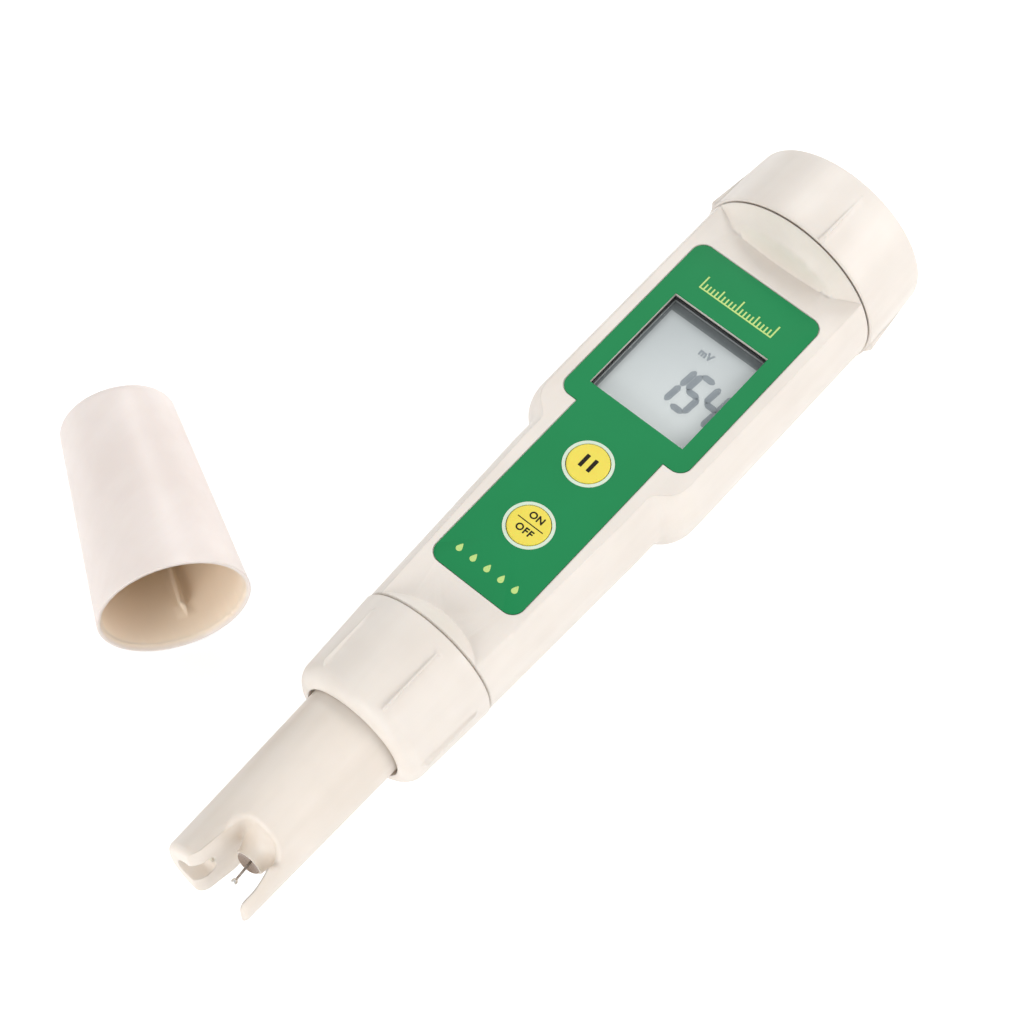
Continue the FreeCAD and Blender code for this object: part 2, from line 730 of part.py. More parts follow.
# ---------------------------------------------------------------- assembly
def tester_pieces():
    pieces = {
        "housing": housing(),
        "label_overlay": label_overlay(),
        "display_window": display_window(),
        "key_seals": key_seals(),
        "lcd_frame": lcd_frame(),
        "lcd_panel": lcd_panel(),
        "display_strips": display_strips(),
        "circuit_board": circuit_board(),
        "main_chip": main_chip(),
        "amplifier_chip": amplifier_chip(),
        "calibration_trimmer": calibration_trimmer(),
        "board_parts": board_parts(),
        "inner_frame": inner_frame(),
        "battery_contacts": battery_contacts(),
        "battery_holder": battery_holder(),
        "cell_link": cell_link(),
        "holder_lid": holder_lid(),
        "lid_screw": lid_screw(),
        "battery_cap": battery_cap(),
        "battery_cap_seal": battery_cap_seal(),
        "collar_nut": collar_nut(),
        "collar_washer": collar_washer(),
        "electrode_body": electrode_body(),
        "sensor_stem": sensor_stem(),
        "sensor_pin": sensor_pin(),
        "reference_junction": reference_junction(),
        "reference_tube": reference_tube(),
        "reference_wire": reference_wire(),
        "electrode_plug": electrode_plug(),
        "plug_pins": plug_pins(),
        "electrode_ring": electrode_ring(),
        "flange_seal": flange_seal(),
        "electrode_socket": electrode_socket(),
        "socket_leads": socket_leads(),
    }
    for name, along in key_alongs.items():
        pieces[name + "_button"] = key(along)
        pieces[name + "_ring"] = key_ring(along)
        pieces[name + "_switch"] = key_switch(along)
    cells = [(side, row) for side in (-1, 1) for row in (0, 1)]
    for number, (side, row) in enumerate(cells, start=1):
        pieces["button_cell_%d" % number] = button_cell(side, row)
    return pieces


def layout():
    """Every piece in the row's frame, and the shift that took it there."""
    pieces = tester_pieces()
    lying = pieces["battery_cap"].optimalBoundingBox(False, False)
    pieces["protective_cap"] = laid_down(protective_cap(), lying.ZMin)
    boxes = [piece.optimalBoundingBox(False, False) for piece in pieces.values()]
    x_middle = (min(b.XMin for b in boxes) + max(b.XMax for b in boxes)) / 2
    along_middle = (min(b.YMin for b in boxes) + max(b.YMax for b in boxes)) / 2
    shift = V(-x_middle, -along_middle, -min(b.ZMin for b in boxes))
    for piece in pieces.values():
        piece.translate(shift)
    return pieces, shift


def main():
    pieces, shift = layout()
    os.makedirs("parts", exist_ok=True)
    for name, piece in pieces.items():
        piece.exportStep("parts/%s.step" % name)
        print("%-20s solids %d  valid %s  volume %.1f"
              % (name, len(piece.Solids), piece.isValid(), piece.Volume))
    print("shift of the tester's frame: %.4f %.4f %.4f" % (shift.x, shift.y, shift.z))


main()
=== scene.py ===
# %% [markdown]
# # A pocket water tester
#
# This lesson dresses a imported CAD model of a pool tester: a pen that dips its tip in the water
# and shows the redox voltage on a small display. The solids already have the right shapes and
# sizes. Blender adds what a draughtsman leaves out: soft moulded edges, the grain of each
# plastic, the printed legends, the figures on the display, the threads, and the light.
#
# The first cell loads the model. Every piece keeps the place that it has there, so a measured
# box of a CAD node is the only ruler that the lesson needs.

import json
import math

import bmesh
import bpy
from mathutils import Matrix, Vector

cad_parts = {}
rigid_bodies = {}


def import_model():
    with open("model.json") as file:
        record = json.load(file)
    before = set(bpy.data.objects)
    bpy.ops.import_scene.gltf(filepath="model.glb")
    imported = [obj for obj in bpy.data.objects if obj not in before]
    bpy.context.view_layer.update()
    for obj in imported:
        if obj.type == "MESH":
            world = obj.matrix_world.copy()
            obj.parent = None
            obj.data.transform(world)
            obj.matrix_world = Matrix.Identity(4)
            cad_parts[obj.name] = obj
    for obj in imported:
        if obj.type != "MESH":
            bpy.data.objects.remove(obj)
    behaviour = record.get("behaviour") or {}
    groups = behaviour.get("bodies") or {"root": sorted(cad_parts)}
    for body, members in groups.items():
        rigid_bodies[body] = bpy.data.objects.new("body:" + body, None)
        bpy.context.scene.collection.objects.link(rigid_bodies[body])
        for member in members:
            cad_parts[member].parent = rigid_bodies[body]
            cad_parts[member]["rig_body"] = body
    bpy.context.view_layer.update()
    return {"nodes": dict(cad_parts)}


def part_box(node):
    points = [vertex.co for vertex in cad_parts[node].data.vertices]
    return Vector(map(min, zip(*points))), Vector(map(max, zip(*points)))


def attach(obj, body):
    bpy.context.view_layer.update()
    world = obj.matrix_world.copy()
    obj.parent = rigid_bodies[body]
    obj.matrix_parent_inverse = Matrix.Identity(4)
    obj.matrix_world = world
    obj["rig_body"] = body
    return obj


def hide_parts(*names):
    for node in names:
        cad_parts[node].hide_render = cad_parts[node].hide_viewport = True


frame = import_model()
nodes = frame["nodes"]
body_of_node = {name: node["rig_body"] for name, node in nodes.items()}
print("pieces in the CAD model:", len(nodes))

# %% [markdown]
# ## The tester's own frame
#
# The tester lies along the Y axis. It is easier to think in its own terms: how far along from
# the tip, how far to the right of the middle, and how far above the axis, all in millimetres.
# The electrode is round, so the middle of its box is the tester's axis.

# %% From the tester's millimetres to the scene's metres
MM = 0.001
TIP_ALONG = 1.5
low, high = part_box("electrode_body")
origin = Vector(((low.x + high.x) / 2, low.y - TIP_ALONG * MM, (low.z + high.z) / 2))


def place(right, along, up):
    """A point of the tester, in the scene."""
    return origin + Vector((right, along, up)) * MM


print("tester's axis at x %.2f mm, z %.2f mm" % (origin.x / MM, origin.z / MM))

# %% [markdown]
# ## Colours and nodes
#
# Colours are picked as hex values, as on a screen. A shader wants linear light instead, so one
# function converts them. A second one adds a node: its type, its settings, and what feeds each
# socket, which is a number, a colour or another node's output. Written this way, a material
# reads from top to bottom like a recipe.

# %% Helpers for materials


def linear(code):
    """A hex colour as linear light, fully opaque."""
    parts = [int(code[i:i + 2], 16) / 255 for i in (1, 3, 5)]
    light = [c / 12.92 if c <= 0.04045 else ((c + 0.055) / 1.055) ** 2.4 for c in parts]
    return (*light, 1.0)


def add(tree, kind, settings=None, **sockets):
    """Adds a node. A socket takes a value or another socket; spaces are written as _."""
    node = tree.nodes.new("ShaderNode" + kind)
    for name, value in (settings or {}).items():
        setattr(node, name, value)
    for name, value in sockets.items():
        key = int(name[1:]) if name[0] == "i" and name[1:].isdigit() else name.replace("_", " ")
        if isinstance(value, bpy.types.NodeSocket):
            tree.links.new(value, node.inputs[key])
        else:
            node.inputs[key].default_value = value
    return node


def new_material(name):
    """An empty material, its tree, and its Principled shader."""
    material = bpy.data.materials.new(name)
    material.use_nodes = True
    return material, material.node_tree, material.node_tree.nodes["Principled BSDF"]


def per_mm(size):
    """The scale of a noise whose features are this many millimetres across."""
    return 1.0 / (size * MM)


def object_place(tree, stretch=(1, 1, 1)):
    """The point on the piece in its own coordinates, stretched for grain with a direction."""
    coordinates = add(tree, "TexCoord")
    return add(tree, "Mapping", Vector=coordinates.outputs["Object"], Scale=stretch).outputs[0]


print("half grey in linear light:", [round(part, 3) for part in linear("#808080")])

# %% [markdown]
# ## Moulded ABS
#
# The housing, both caps, the collar and the electrode's tube are ivory ABS, injected into a
# polished and then lightly blasted steel mould. That gives the eye four things: a warm off-white
# that drifts a little where the melt cooled, a satin sheen, a very fine grain, and edges that
# are never quite sharp. Shadows inside it glow a little, because light enters the plastic.
#
# The Bevel node rounds the shading at an edge, at the radius of a real mould's edge. The grain
# is really about 0.05 mm; it is drawn at 0.3 mm, because a finer one wouldn't show.
#
# The loose cap's inside is browner than its outside, and more so with depth: the light in there
# has bounced off ivory several times. Painted bounce light and shade, masked to the inner wall,
# deepens that: pale at the mouth, browner and darker with depth.

# %% Ivory ABS
PAINTED_SHADE_DEEP = 24      # the depth at which the painted shade reaches its deep tone


def inside_cup(tree, here, mouth, heading, radius, taper, fade, floor):
    """A mask that is 1 on a tapered cup's inner wall and 0 elsewhere, and the depth inside.

    Depth is measured from the mouth along the cup's axis. A point is inside where it is nearer
    to the axis than the middle of the wall, and not as deep as the middle of the floor.
    """
    gap = add(tree, "VectorMath", {"operation": "SUBTRACT"}, i0=here, i1=mouth)
    depth = add(tree, "VectorMath", {"operation": "DOT_PRODUCT"}, i0=gap.outputs[0],
                i1=heading)
    across = add(tree, "VectorMath", {"operation": "CROSS_PRODUCT"}, i0=gap.outputs[0],
                 i1=heading)
    distance = add(tree, "VectorMath", {"operation": "LENGTH"}, i0=across.outputs[0])
    room = add(tree, "Math", {"operation": "MULTIPLY_ADD"}, i0=depth.outputs["Value"],
               i1=-taper, i2=radius)
    within = add(tree, "Math", {"operation": "LESS_THAN"}, i0=distance.outputs["Value"],
                 i1=room.outputs[0])
    before_floor = add(tree, "Math", {"operation": "LESS_THAN"}, i0=depth.outputs["Value"],
                       i1=floor)
    within = add(tree, "Math", {"operation": "MULTIPLY"}, i0=within.outputs[0],
                 i1=before_floor.outputs[0])
    deep = add(tree, "MapRange", Value=depth.outputs["Value"], From_Min=-0.2 * MM, From_Max=fade)
    mask = add(tree, "Math", {"operation": "MULTIPLY"}, i0=within.outputs[0], i1=deep.outputs[0])
    return mask.outputs[0], depth.outputs["Value"]


def moulded_abs(name, light_tone, dark_tone, roughness=0.42, grain=0.3, edge=0.4, cup=None):
    """Moulded plastic. Grain and edge are in mm; cup holds a painted shade's place and tones."""
    material, tree, shader = new_material(name)
    here = object_place(tree)
    along = object_place(tree, stretch=(1, 0.12, 1))
    drift = add(tree, "TexNoise", Vector=here, Scale=per_mm(22), Detail=3.0, Roughness=0.55)
    flow = add(tree, "TexNoise", Vector=along, Scale=per_mm(3.5), Detail=4.0, Roughness=0.6)
    blend = add(tree, "Math", {"operation": "MULTIPLY_ADD"}, i0=flow.outputs[0], i1=0.35,
                i2=drift.outputs[0])
    tone = add(tree, "MapRange", Value=blend.outputs[0], From_Min=0.5, From_Max=0.85)
    colour = add(tree, "Mix", {"data_type": "RGBA"}, Factor=tone.outputs[0],
                 i6=linear(light_tone), i7=linear(dark_tone))
    # Painted bounce light and shade: the cup's inner wall is paler at the mouth, browner and
    # darker deeper in.
    if cup:
        bounce_rim_tone, deep_tone = cup.pop("painted_tones")
        inside, depth = inside_cup(tree, here, **cup)
        shade = add(tree, "MapRange", Value=depth, From_Max=PAINTED_SHADE_DEEP * MM)
        painted_bounce_and_shade = add(tree, "Mix", {"data_type": "RGBA"}, Factor=shade.outputs[0],
                     i6=linear(bounce_rim_tone), i7=linear(deep_tone))
        colour = add(tree, "Mix", {"data_type": "RGBA"}, Factor=inside,
                     i6=colour.outputs[2], i7=painted_bounce_and_shade.outputs[2])
    tree.links.new(colour.outputs[2], shader.inputs["Base Color"])
    sheen = add(tree, "MapRange", Value=flow.outputs[0], From_Min=0.3, From_Max=0.7,
                To_Min=roughness - 0.04, To_Max=roughness + 0.06)
    tree.links.new(sheen.outputs[0], shader.inputs["Roughness"])
    rounded = add(tree, "Bevel", {"samples": 6}, Radius=edge * MM)
    fine = add(tree, "TexNoise", Vector=here, Scale=per_mm(grain), Detail=2.0, Roughness=0.5)
    bump = add(tree, "Bump", Strength=0.16, Distance=0.03 * MM, Height=fine.outputs[0],
               Normal=rounded.outputs[0])
    tree.links.new(bump.outputs[0], shader.inputs["Normal"])
    shader.inputs["Subsurface Weight"].default_value = 0.12
    shader.inputs["Subsurface Radius"].default_value = (1.0, 0.72, 0.5)
    shader.inputs["Subsurface Scale"].default_value = 1.2 * MM
    shader.inputs["IOR"].default_value = 1.54
    return material


ivory = moulded_abs("ivory_abs", "#ECE5DD", "#E4DCD3")
tube_ivory = moulded_abs("ivory_abs_tube", "#E9E0D6", "#E0D6CA", roughness=0.36, grain=0.4,
                         edge=0.6)
CUP_MOUTH = (-43.72, 38.5, -5.64)     # the middle of the loose cap's mouth
CUP_TILT = math.radians(4.447)        # its axis dips, because it lies on its tapered side
CUP_HEADING = math.radians(148.74)    # and points away to the left
CUP_RADIUS, CUP_TAPER, CUP_FLOOR = 14.2, 0.078, 43.8
# The cup's inside carries painted bounce light and shade: a pale tone at the mouth, a brown one
# deep inside.
cup_ivory = moulded_abs("ivory_abs_cup_painted_inside", "#F1E8E3", "#EADFD9", edge=0.15, cup={
    "mouth": place(*CUP_MOUTH),
    "heading": (math.cos(CUP_TILT) * math.cos(CUP_HEADING),
                math.cos(CUP_TILT) * math.sin(CUP_HEADING), -math.sin(CUP_TILT)),
    "radius": CUP_RADIUS * MM, "taper": CUP_TAPER, "fade": 1 * MM, "floor": CUP_FLOOR * MM,
    "painted_tones": ("#F8E8D4", "#CBB08E")})
black_abs = moulded_abs("black_abs", "#1C1D1F", "#151617", roughness=0.5)
white_abs = moulded_abs("white_abs", "#E4E5E2", "#DADCD8", roughness=0.5)
print("first plastics:", ivory.name, tube_ivory.name, black_abs.name, white_abs.name)

# %% [markdown]
# ## Printed polyester
#
# The label is a sheet of polyester, printed on its back and stuck into a recess. Its green is
# even and clean, with a faint orange peel from the hard coat, a few specks of dust that caught
# in the print, and a satin shine. Voronoi cells make the specks: only the points that lie very
# close to a cell's centre stay, and the cell's own random colour decides whether they are kept.

# %% Green label


def printed_polyester(name, tone, deep_tone, speck_tone):
    """An even print behind a satin film, with a few pale specks."""
    material, tree, shader = new_material(name)
    here = object_place(tree)
    cloud = add(tree, "TexNoise", Vector=here, Scale=per_mm(14), Detail=3.0)
    base = add(tree, "Mix", {"data_type": "RGBA"}, Factor=cloud.outputs[0], i6=linear(tone),
               i7=linear(deep_tone))
    cells = add(tree, "TexVoronoi", Vector=here, Scale=per_mm(5.5), Randomness=1.0)
    close = add(tree, "Math", {"operation": "LESS_THAN"}, i0=cells.outputs["Distance"], i1=0.022)
    chance = add(tree, "SeparateColor", Color=cells.outputs["Color"])
    kept = add(tree, "Math", {"operation": "GREATER_THAN"}, i0=chance.outputs[0], i1=0.72)
    speck = add(tree, "Math", {"operation": "MULTIPLY"}, i0=close.outputs[0], i1=kept.outputs[0])
    colour = add(tree, "Mix", {"data_type": "RGBA"}, Factor=speck.outputs[0],
                 i6=base.outputs[2], i7=linear(speck_tone))
    tree.links.new(colour.outputs[2], shader.inputs["Base Color"])
    peel = add(tree, "TexNoise", Vector=here, Scale=per_mm(0.7), Detail=2.0)
    bump = add(tree, "Bump", Strength=0.12, Distance=0.02 * MM, Height=peel.outputs[0])
    tree.links.new(bump.outputs[0], shader.inputs["Normal"])
    shader.inputs["Roughness"].default_value = 0.5
    shader.inputs["Specular IOR Level"].default_value = 0.25
    return material


label_green = printed_polyester("printed_polyester_green", "#0F8A50", "#0C8148", "#8FC9A2")
print(label_green.name, "has", len(label_green.node_tree.nodes), "nodes")

# %% [markdown]
# ## Inks
#
# The legends are screen printed: a thick, slightly uneven film of ink. The yellow-green ink on
# the label lets some of the green through where the film is thin, so it looks a little patchy.
# The dark ink on the keys covers better.

# %% Screen-printed inks


def ink(name, tone, thin_tone, unevenness=0.5):
    """A film of ink; the thin tone shows where the film is thin."""
    material, tree, shader = new_material(name)
    here = object_place(tree)
    film = add(tree, "TexNoise", Vector=here, Scale=per_mm(0.25), Detail=3.0, Roughness=0.7)
    thin = add(tree, "MapRange", Value=film.outputs[0], From_Min=0.5, From_Max=0.75,
               To_Min=0.0, To_Max=unevenness)
    colour = add(tree, "Mix", {"data_type": "RGBA"}, Factor=thin.outputs[0], i6=linear(tone),
                 i7=linear(thin_tone))
    tree.links.new(colour.outputs[2], shader.inputs["Base Color"])
    bump = add(tree, "Bump", Strength=0.2, Distance=0.01 * MM, Height=film.outputs[0])
    tree.links.new(bump.outputs[0], shader.inputs["Normal"])
    shader.inputs["Roughness"].default_value = 0.45
    shader.inputs["Specular IOR Level"].default_value = 0.2
    return material


lime_ink = ink("screen_ink_lime", "#C4E088", "#84BB6C", unevenness=0.55)
dark_ink = ink("screen_ink_dark", "#1B1408", "#2A2110")
print("inks:", lime_ink.name, dark_ink.name)

# %% [markdown]
# ## Keys and their rings
#
# Each key is a yellow silicone cap with a slightly cloudy tone and a fine matt grain. The ring
# round it is printed in a very pale green.

# %% Yellow silicone and the pale ring


def tinted_silicone(name, tone, deep_tone, roughness):
    """A soft, slightly translucent solid with a cloudy tone and a fine matt grain."""
    material, tree, shader = new_material(name)
    here = object_place(tree)
    cloud = add(tree, "TexNoise", Vector=here, Scale=per_mm(2.6), Detail=4.0, Roughness=0.6)
    tone_mix = add(tree, "Mix", {"data_type": "RGBA"}, Factor=cloud.outputs[0],
                   i6=linear(tone), i7=linear(deep_tone))
    tree.links.new(tone_mix.outputs[2], shader.inputs["Base Color"])
    grain = add(tree, "TexNoise", Vector=here, Scale=per_mm(0.22), Detail=2.0)
    bump = add(tree, "Bump", Strength=0.25, Distance=0.015 * MM, Height=grain.outputs[0])
    tree.links.new(bump.outputs[0], shader.inputs["Normal"])
    shader.inputs["Roughness"].default_value = roughness
    shader.inputs["Subsurface Weight"].default_value = 0.1
    shader.inputs["Subsurface Scale"].default_value = 0.6 * MM
    return material


key_yellow = tinted_silicone("silicone_yellow", "#F1E25A", "#E9D548", 0.5)
ring_ink = tinted_silicone("printed_ring_pale_green", "#DDEBDA", "#CFE2CD", 0.45)
seal_rubber = tinted_silicone("nitrile_rubber_black", "#232325", "#1A1A1B", 0.62)
strip_rubber = tinted_silicone("zebra_rubber", "#8E7A78", "#6B5957", 0.6)
print("soft materials:", key_yellow.name, ring_ink.name, seal_rubber.name, strip_rubber.name)

# %% [markdown]
# ## Display glass, clear window, and what glints
#
# A reflective display is a pale grey sheet under two panes of glass. Its colour holds painted
# light: it is lighter towards the tip and the right, and darker towards the rear and the left.
# The window over it is clear acrylic with an anti-glare coat: most of a ray goes straight
# through, and only the rest meets the plastic's shine. Metals keep the default IOR, and their
# look comes from roughness: the platinum wire is bright, the nickel and the cell cans are brushed.

# %% Display, window, resin, metals, board
ANTI_GLARE = 0.93     # the share of a ray that the coat lets straight through


def lcd_glass(name, tone, deep_tone, middle, drift):
    """A pale sheet with painted light towards one corner; drift is how much lighter per
    millimetre.
    """
    material, tree, shader = new_material(name)
    here = object_place(tree)
    haze = add(tree, "TexNoise", Vector=here, Scale=per_mm(9), Detail=2.0)
    # Painted light: the sheet gets lighter towards the tip and the right, darker towards the rear
    # and left.
    painted_light_slope = Vector(drift) / MM
    painted_light = add(tree, "VectorMath", {"operation": "DOT_PRODUCT"}, i0=here, i1=painted_light_slope)
    uneven = add(tree, "Math", {"operation": "MULTIPLY_ADD"}, i0=haze.outputs[0], i1=0.12,
                 i2=painted_light.outputs["Value"])
    level = painted_light_slope.dot(middle)
    pale = add(tree, "MapRange", Value=uneven.outputs[0], From_Min=level - 0.45,
               From_Max=level + 0.55)
    colour = add(tree, "Mix", {"data_type": "RGBA"}, Factor=pale.outputs[0],
                 i6=linear(deep_tone), i7=linear(tone))
    tree.links.new(colour.outputs[2], shader.inputs["Base Color"])
    frost = add(tree, "TexNoise", Vector=here, Scale=per_mm(0.2), Detail=2.0)
    bump = add(tree, "Bump", Strength=0.05, Distance=0.01 * MM, Height=frost.outputs[0])
    tree.links.new(bump.outputs[0], shader.inputs["Normal"])
    shader.inputs["Roughness"].default_value = 0.3
    shader.inputs["Specular IOR Level"].default_value = 0.2
    return material


def clear_acrylic(name):
    """Clear, with a trace of haze and an anti-glare coat. Shadow rays pass through it."""
    material, tree, shader = new_material(name)
    here = object_place(tree)
    haze = add(tree, "TexNoise", Vector=here, Scale=per_mm(4), Detail=4.0)
    soft = add(tree, "MapRange", Value=haze.outputs[0], To_Min=0.02, To_Max=0.09)
    tree.links.new(soft.outputs[0], shader.inputs["Roughness"])
    shader.inputs["Base Color"].default_value = linear("#F8FAFA")
    shader.inputs["Transmission Weight"].default_value = 1.0
    shader.inputs["IOR"].default_value = 1.49
    clear = add(tree, "BsdfTransparent", Color=linear("#F9FAFA"))
    rays = add(tree, "LightPath")
    either = add(tree, "Math", {"operation": "MAXIMUM"}, i0=rays.outputs["Is Shadow Ray"],
                 i1=rays.outputs["Is Diffuse Ray"])
    coated = add(tree, "Math", {"operation": "MAXIMUM"}, i0=either.outputs[0], i1=ANTI_GLARE)
    mixed = add(tree, "MixShader", i0=coated.outputs[0], i1=shader.outputs[0],
                i2=clear.outputs[0])
    tree.links.new(mixed.outputs[0], tree.nodes["Material Output"].inputs["Surface"])
    return material


def brushed_metal(name, tone, roughness, stretch=(1, 1, 1)):
    """Metal with fine scratches, which run along the axis with the smallest stretch."""
    material, tree, shader = new_material(name)
    here = object_place(tree, stretch=stretch)
    lines = add(tree, "TexNoise", Vector=here, Scale=per_mm(0.12), Detail=3.0)
    spread = add(tree, "MapRange", Value=lines.outputs[0], To_Min=roughness * 0.7,
                 To_Max=roughness * 1.4)
    tree.links.new(spread.outputs[0], shader.inputs["Roughness"])
    bump = add(tree, "Bump", Strength=0.3, Distance=0.01 * MM, Height=lines.outputs[0])
    tree.links.new(bump.outputs[0], shader.inputs["Normal"])
    shader.inputs["Base Color"].default_value = linear(tone)
    shader.inputs["Metallic"].default_value = 1.0
    return material


def cast_resin(name, tone, deep_tone):
    """Brown resin, poured and set: glossy, with tiny bubbles near the surface."""
    material, tree, shader = new_material(name)
    here = object_place(tree)
    bubbles = add(tree, "TexVoronoi", Vector=here, Scale=per_mm(0.35))
    spot = add(tree, "MapRange", Value=bubbles.outputs["Distance"], From_Min=0.1, From_Max=0.4)
    colour = add(tree, "Mix", {"data_type": "RGBA"}, Factor=spot.outputs[0],
                 i6=linear(deep_tone), i7=linear(tone))
    tree.links.new(colour.outputs[2], shader.inputs["Base Color"])
    bump = add(tree, "Bump", Strength=0.15, Distance=0.02 * MM, Height=spot.outputs[0])
    tree.links.new(bump.outputs[0], shader.inputs["Normal"])
    shader.inputs["Roughness"].default_value = 0.12
    shader.inputs["Coat Weight"].default_value = 0.4
    return material


def board_laminate(name):
    """Solder mask over copper: green, with paler tracks that follow a coarse grid."""
    material, tree, shader = new_material(name)
    here = object_place(tree)
    grid = add(tree, "TexBrick", Vector=here, Scale=per_mm(9), Mortar_Size=0.03,
               Color1=linear("#1F5E36"), Color2=linear("#1B5430"), Mortar=linear("#2F7D4B"))
    tree.links.new(grid.outputs["Color"], shader.inputs["Base Color"])
    weave = add(tree, "TexNoise", Vector=here, Scale=per_mm(0.5), Detail=2.0)
    bump = add(tree, "Bump", Strength=0.2, Distance=0.02 * MM, Height=weave.outputs[0])
    tree.links.new(bump.outputs[0], shader.inputs["Normal"])
    shader.inputs["Roughness"].default_value = 0.35
    return material


# The display's tones and drift paint light: lighter towards the tip and right, darker at the rear
# left.
display_glass = lcd_glass("reflective_lcd", "#F2F5F5", "#D2D6D8", place(0, 130, 0),
                          (0.025, -0.04, 0))
window_clear, thin_glass = clear_acrylic("clear_acrylic"), clear_acrylic("thin_glass")
platinum = brushed_metal("platinum_wire", "#F0F0EE", 0.28)
nickel = brushed_metal("nickel_plate", "#C4C2BA", 0.3, stretch=(1, 1, 0.1))
cell_steel = brushed_metal("cell_can_steel", "#CFCFCD", 0.22, stretch=(1, 0.1, 1))
silver = brushed_metal("silver_wire", "#D0CEC8", 0.25)
gold = brushed_metal("gold_plated_brass", "#D9B25C", 0.22)
stem_resin = cast_resin("cast_resin_brown", "#8C7868", "#6E5B4C")
laminate = board_laminate("fr4_laminate")
blue_case = moulded_abs("blue_trimmer_case", "#2D62A8", "#27579A", roughness=0.45)
chip_epoxy = moulded_abs("chip_epoxy", "#26272A", "#1E1F21", roughness=0.6, grain=0.15)
part_body = tinted_silicone("chip_resistor_body", "#A08B6A", "#6E6250", 0.5)
junction_porous = tinted_silicone("porous_junction", "#E2DDD0", "#C9C2B0", 0.85)
slip_white = tinted_silicone("ptfe_white", "#F0F0EE", "#E4E4E2", 0.4)
print("materials:", len(bpy.data.materials))

# %% [markdown]
# ## From solids to smooth pieces
#
# A CAD mesh arrives as loose triangles: right in shape, but every facet shows, and its edges
# aren't joined. A copy is merged so that neighbours share their corners, then shaded smooth,
# except where two faces meet at a real edge. A Weighted Normal modifier lets the large faces
# decide the shading, so flats stay flat beside a fillet. The copy stands for the CAD node and
# rides on the same body, so it moves with its joint.

# %% Dress a CAD node
MERGE = 0.0005 * MM   # corners nearer than this are one corner
REAL_EDGE = 32        # the angle in degrees from which an edge stays sharp


def settle(piece, material, body, sharp=REAL_EDGE):
    """The last steps of every piece: material, smooth shading with real edges, and its body."""
    mesh = piece.data
    mesh.materials.clear()
    mesh.materials.append(material)
    mesh.shade_smooth()
    mesh.set_sharp_from_angle(angle=math.radians(sharp))
    weighted = piece.modifiers.new("weighted", "WEIGHTED_NORMAL")
    weighted.keep_sharp = True
    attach(piece, body)


def linked(name, data):
    """A new object in the scene."""
    item = bpy.data.objects.new(name, data)
    bpy.context.scene.collection.objects.link(item)
    return item


def piece_from(name, bm):
    """A new object with a bmesh's shape."""
    mesh = bpy.data.meshes.new(name)
    bm.to_mesh(mesh)
    bm.free()
    return linked(name, mesh)


def new_piece(name, bm):
    """Puts a finished bmesh in a new object, with its normals pointing outwards."""
    bmesh.ops.remove_doubles(bm, verts=bm.verts, dist=MERGE)
    bmesh.ops.recalc_face_normals(bm, faces=bm.faces)
    return piece_from(name, bm)


def dress(node, material, sharp):
    """A smooth copy of a CAD node, with a material, in the node's place."""
    bm = bmesh.new()
    bm.from_mesh(nodes[node].data)
    bmesh.ops.remove_doubles(bm, verts=bm.verts, dist=MERGE)
    piece = piece_from(node + "_surface", bm)
    settle(piece, material, body_of_node[node], sharp)
    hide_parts(node)


finishes = {
    ivory: ["housing", "battery_cap", "collar_nut"],
    cup_ivory: ["protective_cap"],
    tube_ivory: ["electrode_body"],
    label_green: ["label_overlay"],
    window_clear: ["display_window"],
    ring_ink: ["power_ring", "hold_ring"],
    key_yellow: ["power_button", "hold_button"],
    display_glass: ["lcd_panel"],
    white_abs: ["inner_frame"],
    black_abs: ["lcd_frame", "battery_holder", "holder_lid", "electrode_plug", "electrode_socket",
                "power_switch", "hold_switch"],
    seal_rubber: ["key_seals", "battery_cap_seal", "electrode_ring", "flange_seal"],
    strip_rubber: ["display_strips"],
    laminate: ["circuit_board"],
    chip_epoxy: ["main_chip", "amplifier_chip"],
    blue_case: ["calibration_trimmer"],
    part_body: ["board_parts"],
    nickel: ["battery_contacts", "cell_link", "lid_screw"],
    cell_steel: ["button_cell_%d" % number for number in range(1, 5)],
    gold: ["plug_pins", "socket_leads"],
    stem_resin: ["sensor_stem"],
    platinum: ["sensor_pin"],
    junction_porous: ["reference_junction"],
    thin_glass: ["reference_tube"],
    silver: ["reference_wire"],
    slip_white: ["collar_washer"],
}
# Round the flat face and inside the tip the edges are shallow, so there they are sharp earlier.
SHALLOW_EDGE = {"housing": 13, "electrode_body": 24}
for material, names in finishes.items():
    for node in names:
        dress(node, material, SHALLOW_EDGE.get(node, REAL_EDGE))
print("dressed:", sum(len(names) for names in finishes.values()), "of", len(nodes))

# %% [markdown]
# ## Legends
#
# A printed mark is a film of ink about 0.02 mm thick. A Text object gives the letter forms: it
# is turned into a mesh with that thickness, and the mesh is then moved on to its surface, so
# that the finished object sits at the origin. Simple marks, such as bars and ticks, are thin
# boxes, whose corners can be rounded.

# %% Ink on a surface
INK_THICK = 0.02
CAPITAL = 0.7         # a capital letter's height, as a share of the text's size


def legend(name, words, height, right, along, surface, material, body, bold=0.0, spacing=1.0):
    """Words in ink, centred at a place, as high as a capital letter should be."""
    text = bpy.data.curves.new(name, "FONT")
    text.body = words
    text.align_x, text.align_y = "CENTER", "CENTER"
    text.size = height / CAPITAL
    text.space_character = spacing
    text.extrude = INK_THICK / 2
    text.offset = bold
    text.resolution_u = 6
    maker = linked(name + "_maker", text)
    bpy.context.view_layer.update()
    evaluated = maker.evaluated_get(bpy.context.evaluated_depsgraph_get())
    mesh = bpy.data.meshes.new_from_object(evaluated)
    bpy.data.objects.remove(maker)
    mesh.name = name
    shift = Matrix.Translation(place(right, along, surface + INK_THICK / 2))
    mesh.transform(shift @ Matrix.Scale(MM, 4))
    settle(linked(name, mesh), material, body)


